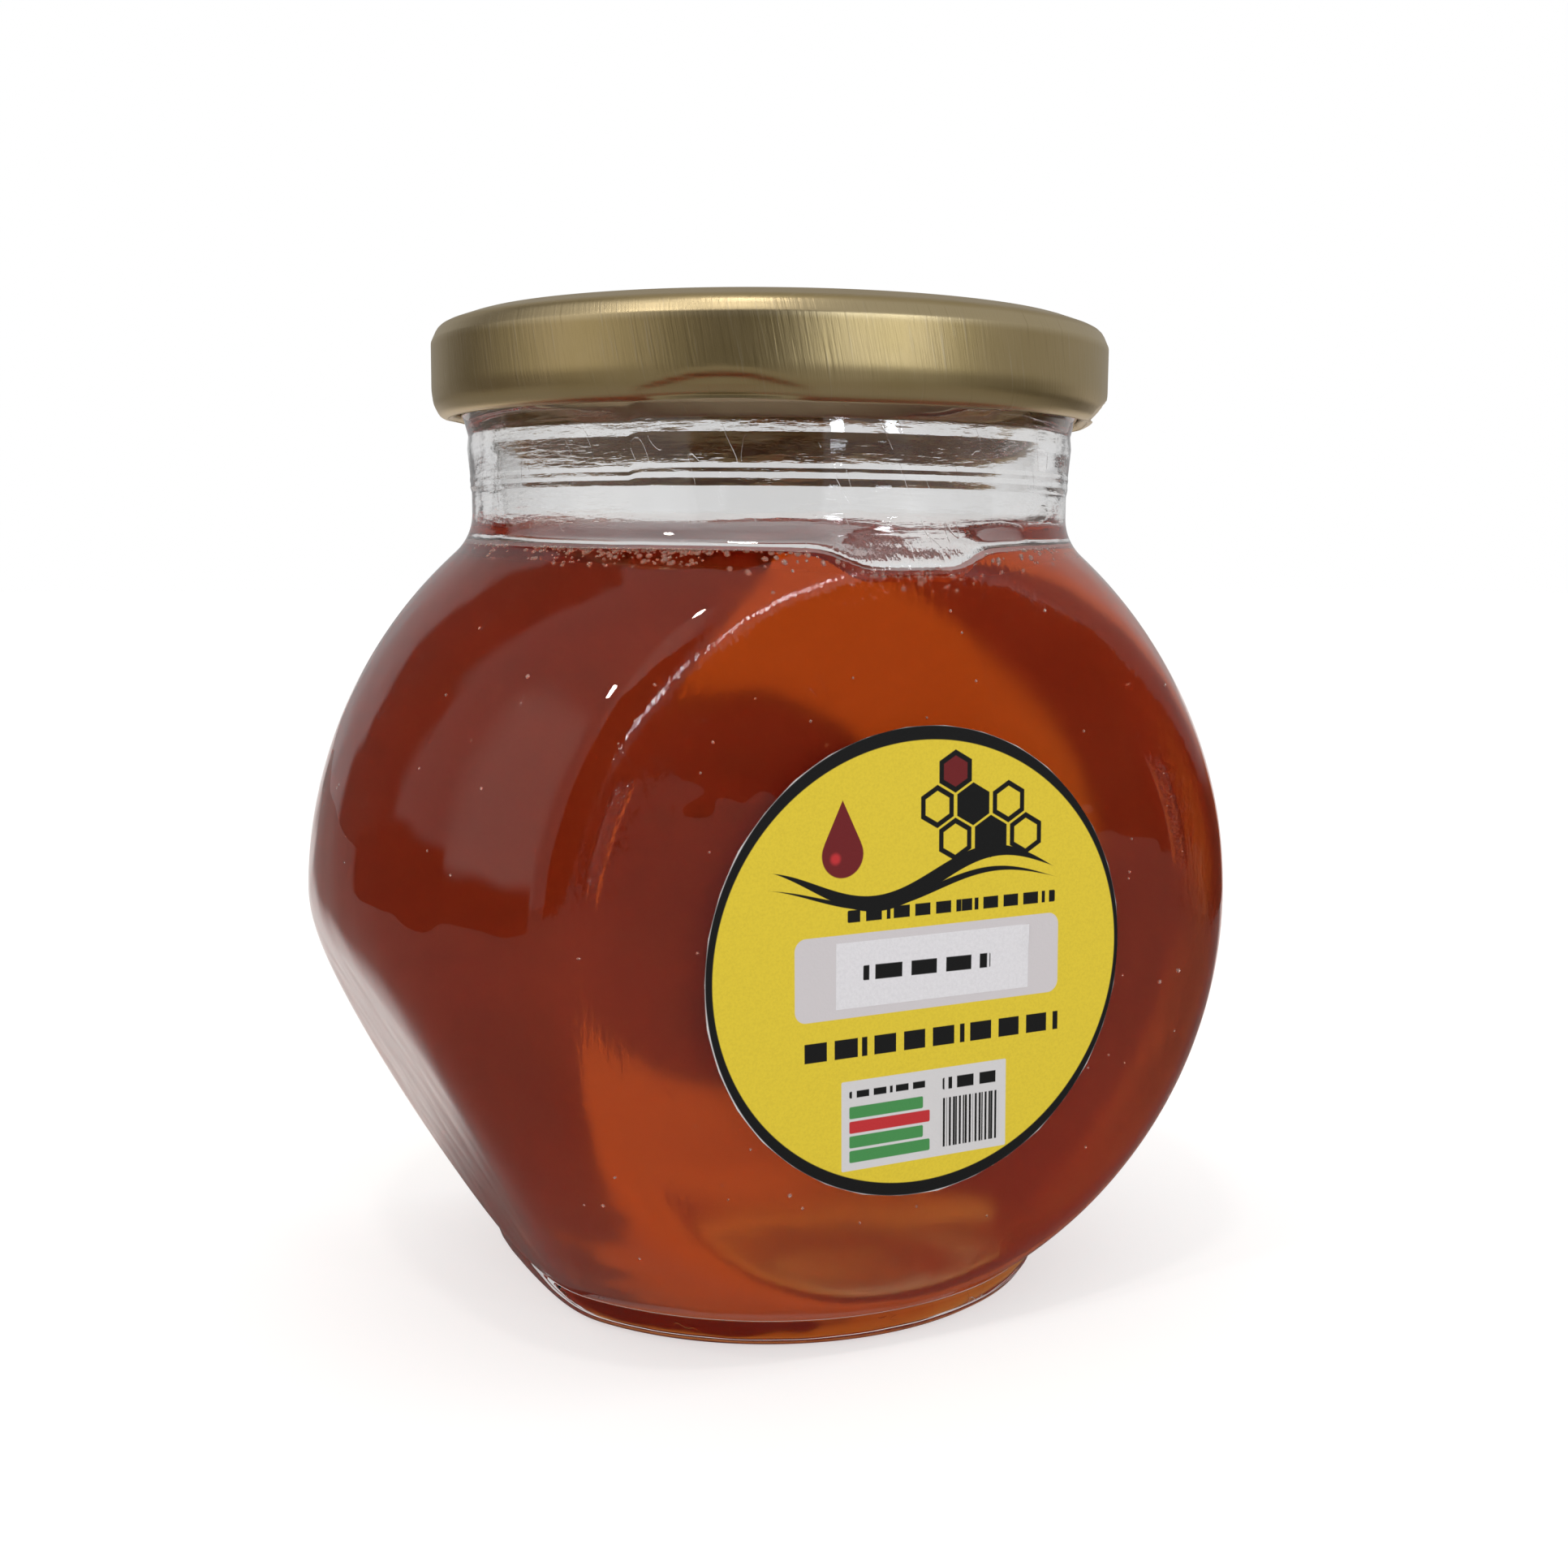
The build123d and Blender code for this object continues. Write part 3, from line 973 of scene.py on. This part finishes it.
# %% The front label's print
def make_front_print():
    finish, s = material("front_print")
    x, y, z = s.place()
    grain = s.noise(s.at(x, y, z), 3.2, 3.0, 0.7)
    tilt = math.radians(0.8)
    up = z - GLOBE_MIDDLE_Z
    p = Print(s, x * math.cos(tilt) + up * math.sin(tilt), up * math.cos(tilt) - x * math.sin(tilt), WHITE)
    yellow = s.mix(grain.step(0.35, 0.72), YELLOW, WORN_YELLOW)
    p.ink(p.disc(0.7, -3.6, 27.05), BLACK)
    p.ink(p.oval(0.84, -3.65, 26.35, 25.5), yellow)
    for base, swing, weight in ((6.2, 2.4, 1.0), (5.0, 1.5, 0.42)):
        line = (p.u * 0.20 - 0.5).sin() * swing + base
        taper = (1.0 - p.u * p.u / 330) * weight
        p.ink(((p.v - line).abs() - taper).step(0.06, -0.06), BLACK)
    reach, side = 2.15, 4.75
    for row, column, fill in (
        (0, 0, yellow), (0, 1, BLACK), (0, 2, yellow), (1, 0, BLACK), (1, 1, yellow), (1, -1, yellow),
        (2, 0, DARK_RED),
    ):
        u, v = 4.9 + side * (column + (row % 2) * 0.5), 10.3 + side * 0.82 * row
        p.ink(p.hexagon(u, v, reach), BLACK)
        p.ink(p.hexagon(u, v, reach - 0.6), fill)
    drop = p.disc(-9.6, 9.6, 2.6).max(
        (p.v - 10.8).step(-0.1, 0.1) * ((p.u + 9.6).abs() * 2.1 + (p.v - 10.8)).step(5.0, 4.8)
    )
    p.ink(drop, DARK_RED)
    p.ink(p.disc(-10.5, 9.2, 0.6, 0.3), RED)
    p.ink(p.words(-9.0, 18.6, 1.9, 3.3, 2.1, 0.4), BLACK)
    p.ink(p.box(-15.6, 19.1, -8.9, 0.6, 1.4), GREY)
    p.ink(p.words(-15.2, 19.4, -13.5, -11.3, 1.5, 2.0), BLACK)
    p.ink(p.box(-9.8, 12.0, -26.6, -16.2), WHITE)
    p.ink(p.words(-8.8, 1.2, -18.2, -17.4, 2.6, 1.0), BLACK)
    for i, colour in enumerate((GREEN, RED, GREEN, GREEN)):
        p.ink(p.box(-8.8, 0.8 + (i % 2) * 0.9, -20.6 - 1.7 * i, -19.2 - 1.7 * i), colour)
    p.ink(p.words(3.4, 10.8, -18.8, -17.4, 1.9, 2.4), BLACK)
    lines = (p.u * 9.0).sin() + (p.u * 14.3 + 1.0).sin()
    p.ink(p.box(3.2, 11.0, -25.6, -19.8) * lines.step(-0.2, 0.1), BLACK)
    s.finish(paper_finish(s, p.colour, grain))
    return finish


# %% [markdown]
# The rear label is the same disc with the small print of any food jar: a row of comb cells, six lines of
# bars and a white panel. It is read from behind, so across is measured the other way.

# %% The rear label's print
def make_rear_print():
    finish, s = material("rear_print")
    x, y, z = s.place()
    grain = s.noise(s.at(x, y, z), 3.2, 3.0, 0.7)
    p = Print(s, -x, z - GLOBE_MIDDLE_Z, WHITE)
    yellow = s.mix(grain.step(0.35, 0.72), YELLOW, WORN_YELLOW)
    p.ink(p.disc(0.8, -2.6, 27.05), BLACK)
    p.ink(p.oval(0.9, -2.7, 26.2, 25.6), yellow)
    for i in range(7):
        u = -14.25 + 4.75 * i
        p.ink(p.hexagon(u, 14.2 - 0.5 * abs(i - 3), 2.15), BLACK)
        p.ink(p.hexagon(u, 14.2 - 0.5 * abs(i - 3), 1.6), DARK_RED if i == 3 else yellow)
    p.ink(p.words(-14.0, 15.0, 6.6, 9.0, 1.15, 1.2), BLACK)
    for i in range(6):
        low, end = 2.6 - 2.9 * i, 18.0 - 3.0 * (i % 2)
        p.ink(p.words(-17.0, end, low, low + 1.2, 1.9 + 0.2 * i, i * 1.7), BLACK)
    p.ink(p.box(-11.0, 12.5, -24.0, -14.6), WHITE)
    for i in range(4):
        p.ink(p.words(-9.8, 11.0, -17.0 - 1.9 * i, -16.0 - 1.9 * i, 2.2, 0.7 + i), BLACK)
    s.finish(paper_finish(s, p.colour, grain))
    return finish


# %% [markdown]
# The sticker is plain white paper with one short row of bars stamped on it. Its paper is cooler and duller
# than the label's, which is what sets it off from the yellow.

# %% The sticker's print
def make_sticker_print():
    finish, s = material("sticker_print")
    x, y, z = s.place()
    grain = s.noise(s.at(x, y, z), 2.4, 3.0, 0.7)
    p = Print(s, x, z - GLOBE_MIDDLE_Z, s.mix(grain.step(0.3, 0.7), (0.69, 0.67, 0.69), (0.75, 0.73, 0.75)))
    p.ink(p.words(-7.0, 9.8, -4.9, -3.2, 1.25, 0.6), BLACK)
    s.finish(paper_finish(s, p.colour, grain))
    return finish


wear(jar_glass, make_glass(), make_wetted_glass())
wear(honey_fill, make_honey())
wear(honey_bubbles, make_air())
wear(lug_cap, make_lacquer())
wear(front_paper, make_front_print())
wear(rear_paper, make_rear_print())
wear(sticker, make_sticker_print())

# %% [markdown]
# The camera comes before the studio, because metal and glass show mostly what stands round the camera. It
# stands a little above the honey's level and looks slightly down, turned so that the labelled face looks past
# it to the right.

# %% Camera
VIEW_TURN = math.radians(25.92)
VIEW_DISTANCE = 0.2457
VIEW_HEIGHT = 0.0922
VIEW_ASIDE = 0.0088
VIEW_DOWN = 0.1199
VIEW_LEAN = 0.0076

lens = bpy.data.cameras.new("camera")
lens.sensor_width = 36.0
lens.lens = 43.45
lens.clip_start = 0.01
camera = bpy.data.objects.new("camera", lens)
camera.location = (-VIEW_DISTANCE * math.sin(VIEW_TURN), -VIEW_DISTANCE * math.cos(VIEW_TURN), VIEW_HEIGHT)
pan = Matrix.Rotation(-VIEW_TURN - VIEW_ASIDE, 3, "Z")
nod = Matrix.Rotation(math.pi / 2 - VIEW_DOWN, 3, "X")
camera.rotation_euler = (pan @ nod @ Matrix.Rotation(VIEW_LEAN, 3, "Z")).to_euler()
bpy.context.scene.collection.objects.link(camera)
bpy.context.scene.camera = camera
bpy.context.scene.view_settings.view_transform = "Standard"
print("camera at", [round(value, 3) for value in camera.location])


JAR_MIDDLE = 0.06


def towards(turn, lift, distance):
    """A place at a distance from the jar's middle, turned right of the camera and lifted, in degrees."""
    angle = -math.pi / 2 - VIEW_TURN + math.radians(turn)
    flat, rise = distance * math.cos(math.radians(lift)), distance * math.sin(math.radians(lift))
    return Vector((flat * math.cos(angle), flat * math.sin(angle), JAR_MIDDLE + rise))


# %% [markdown]
# The studio is a pale floor and a pale surround. Light Path lets the camera see them as white while they
# light the jar at a plain level. Seen through glass, or mirrored in it, they are a shade darker than white,
# as a room is. In mirrors the floor carries painted shade, with a painted pool of light behind the jar.

# %% Floor and surround
GLOW_SEEN, GLOW_THROUGH = 0.56, 0.18
SHADE_MIRRORED, SHADE_THROUGH = 0.55, 0.29


def sheet(name, width, height):
    """A flat sheet that is part of the studio and not of the jar."""
    mesh = bmesh.new()
    bmesh.ops.create_grid(mesh, x_segments=1, y_segments=1, size=0.5)
    bmesh.ops.scale(mesh, vec=(width, height, 1), verts=mesh.verts)
    data = bpy.data.meshes.new(name)
    mesh.to_mesh(data)
    mesh.free()
    made = bpy.data.objects.new(name, data)
    bpy.context.scene.collection.objects.link(made)
    return made


def mirrored_ray(s):
    """1 for a ray thrown back by a glossy surface, 0 for one that passed through it."""
    return s.node("LightPath", output="Is Glossy Ray") * s.node("LightPath", output="Is Reflection Ray")


def make_floor_finish():
    finish, s = material("pale_floor")
    to_camera = s.node("LightPath", output="Is Camera Ray")
    x, y, z = s.place()
    in_mirrors = mirrored_ray(s)
    # In mirrors the floor is painted dark grey (painted shade), with a paler patch behind the jar: a painted
    # pool of window light.
    painted_light_pool = y.step(25.0, 70.0) * x.step(-120.0, -70.0)
    mirrored = s.mix(painted_light_pool, (0.28, 0.27, 0.26), (0.80, 0.76, 0.74))
    tone = s.mix(in_mirrors, (0.50, 0.49, 0.48), mirrored)
    paint = s.matt(tone)
    shine = to_camera * GLOW_SEEN + s.node("LightPath", output="Is Transmission Ray") * GLOW_THROUGH
    glow = s.node("Emission", sockets={"Color": (1.0, 1.0, 1.0), "Strength": shine})
    s.finish(s.node("AddShader", sockets={0: paint, 1: glow}))
    return finish


floor = sheet("floor", 8.0, 8.0)
wear(floor, make_floor_finish())

world = bpy.data.worlds.new("surround")
bpy.context.scene.world = world
s = Shader(world)
seen_through = s.node("LightPath", output="Is Transmission Ray")
strength = 1.0 - mirrored_ray(s) * SHADE_MIRRORED - seen_through * SHADE_THROUGH
s.finish(s.node("Background", sockets={"Color": (1.0, 1.0, 1.0), "Strength": strength}))

# %% [markdown]
# Brushed metal and clear glass look flat in an all-white room: they need something dark to mirror. A large
# dark board stands behind the camera, low dark ones stand to its right and left, and a dark post far left
# draws the glass's edge. Paler boards between them make the soft grey sheens. The camera, the soft light and
# the shadows pass through the boards, so they show in reflections only.

# %% Dark boards
def add_board(name, turn, distance, width, low, high, tone, soft=0.0):
    """A pale or dark board that only reflections see. soft is how far its sides and top fade, in metres."""
    board = sheet(name, width, high - low)
    place = towards(turn, 0, distance)
    board.location = (place.x, place.y, (low + high) / 2)
    board.rotation_euler = (math.pi / 2, 0, math.atan2(place.y, place.x) + math.pi / 2)
    board.visible_camera = board.visible_diffuse = board.visible_shadow = False
    finish, s = material(name)
    surface = s.node("Emission", sockets={"Color": tone, "Strength": 1.0})
    if soft:
        across, up, _ = s.place()
        side = across.abs().step(width / 2 / MM, (width / 2 - soft) / MM)
        top = up.step((high - low) / 2 / MM, ((high - low) / 2 - soft) / MM)
        surface = s.node("MixShader", sockets={0: side * top, 1: s.node("BsdfTransparent"), 2: surface})
    s.finish(surface)
    wear(board, finish)


add_board("board_behind_camera", -5.5, 0.8, 0.72, 0.0, 0.85, (0.055, 0.048, 0.04))
add_board("low_board", 58, 0.47, 0.7, 0.0, 0.10, (0.08, 0.07, 0.06))
add_board("low_board_left", -80, 0.42, 0.54, 0.0, 0.094, (0.09, 0.07, 0.06), 0.03)
add_board("box_left", -90, 0.5, 0.26, 0.0, 0.132, (0.09, 0.07, 0.06), 0.03)
add_board("post_left", -114, 0.8, 0.46, 0.05, 1.7, (0.11, 0.10, 0.09), 0.07)
add_board("pale_board_left", -64, 1.0, 0.8, 0.06, 1.05, (0.92, 0.90, 0.86), 0.25)
add_board("pale_board_above", -14, 0.9, 0.9, 0.75, 2.1, (0.85, 0.83, 0.80), 0.3)
add_board("pale_board_right", 54, 1.0, 0.34, 0.0, 0.6, (1.02, 1.04, 1.06), 0.12)
add_board("board_right", 104, 0.28, 0.42, 0.0, 0.088, (0.08, 0.07, 0.06), 0.03)

# %% [markdown]
# A cool window to the right of the camera and two small ceiling lamps on its left are the lights. Their small
# mirror images make the bright streaks on the glass.

# %% Lamps
def add_lamp(name, turn, lift, distance, width, height, power, tone):
    data = bpy.data.lights.new(name, "AREA")
    data.shape = "RECTANGLE"
    data.size, data.size_y = width, height
    data.energy = power
    data.color = tone
    lamp = bpy.data.objects.new(name, data)
    lamp.location = towards(turn, lift, distance)
    lamp.rotation_euler = (Vector((0, 0, JAR_MIDDLE)) - lamp.location).to_track_quat("-Z", "Y").to_euler()
    bpy.context.scene.collection.objects.link(lamp)
    print(name, "power", power)


add_lamp("window_left", 24, 15, 1.2, 0.10, 0.13, 1.1, (0.86, 0.93, 1.0))
add_lamp("window_right", 43.5, 15, 1.2, 0.10, 0.13, 1.1, (0.86, 0.93, 1.0))
add_lamp("ceiling_lamp_left", -46, 46, 1.2, 0.06, 0.06, 1.0, (1.0, 0.97, 0.93))
add_lamp("ceiling_lamp", -15, 64, 1.2, 0.10, 0.06, 1.5, (1.0, 0.97, 0.93))

# %% [markdown]
# A ray that crosses glass, honey and bubbles meets many skins before it leaves. Too few bounces would end it
# inside and leave the jar's edges black, so the counts are raised here.

# %% Light paths
cycles = bpy.context.scene.cycles
cycles.max_bounces = 32
cycles.glossy_bounces = 10
cycles.transmission_bounces = 32
cycles.transparent_max_bounces = 32
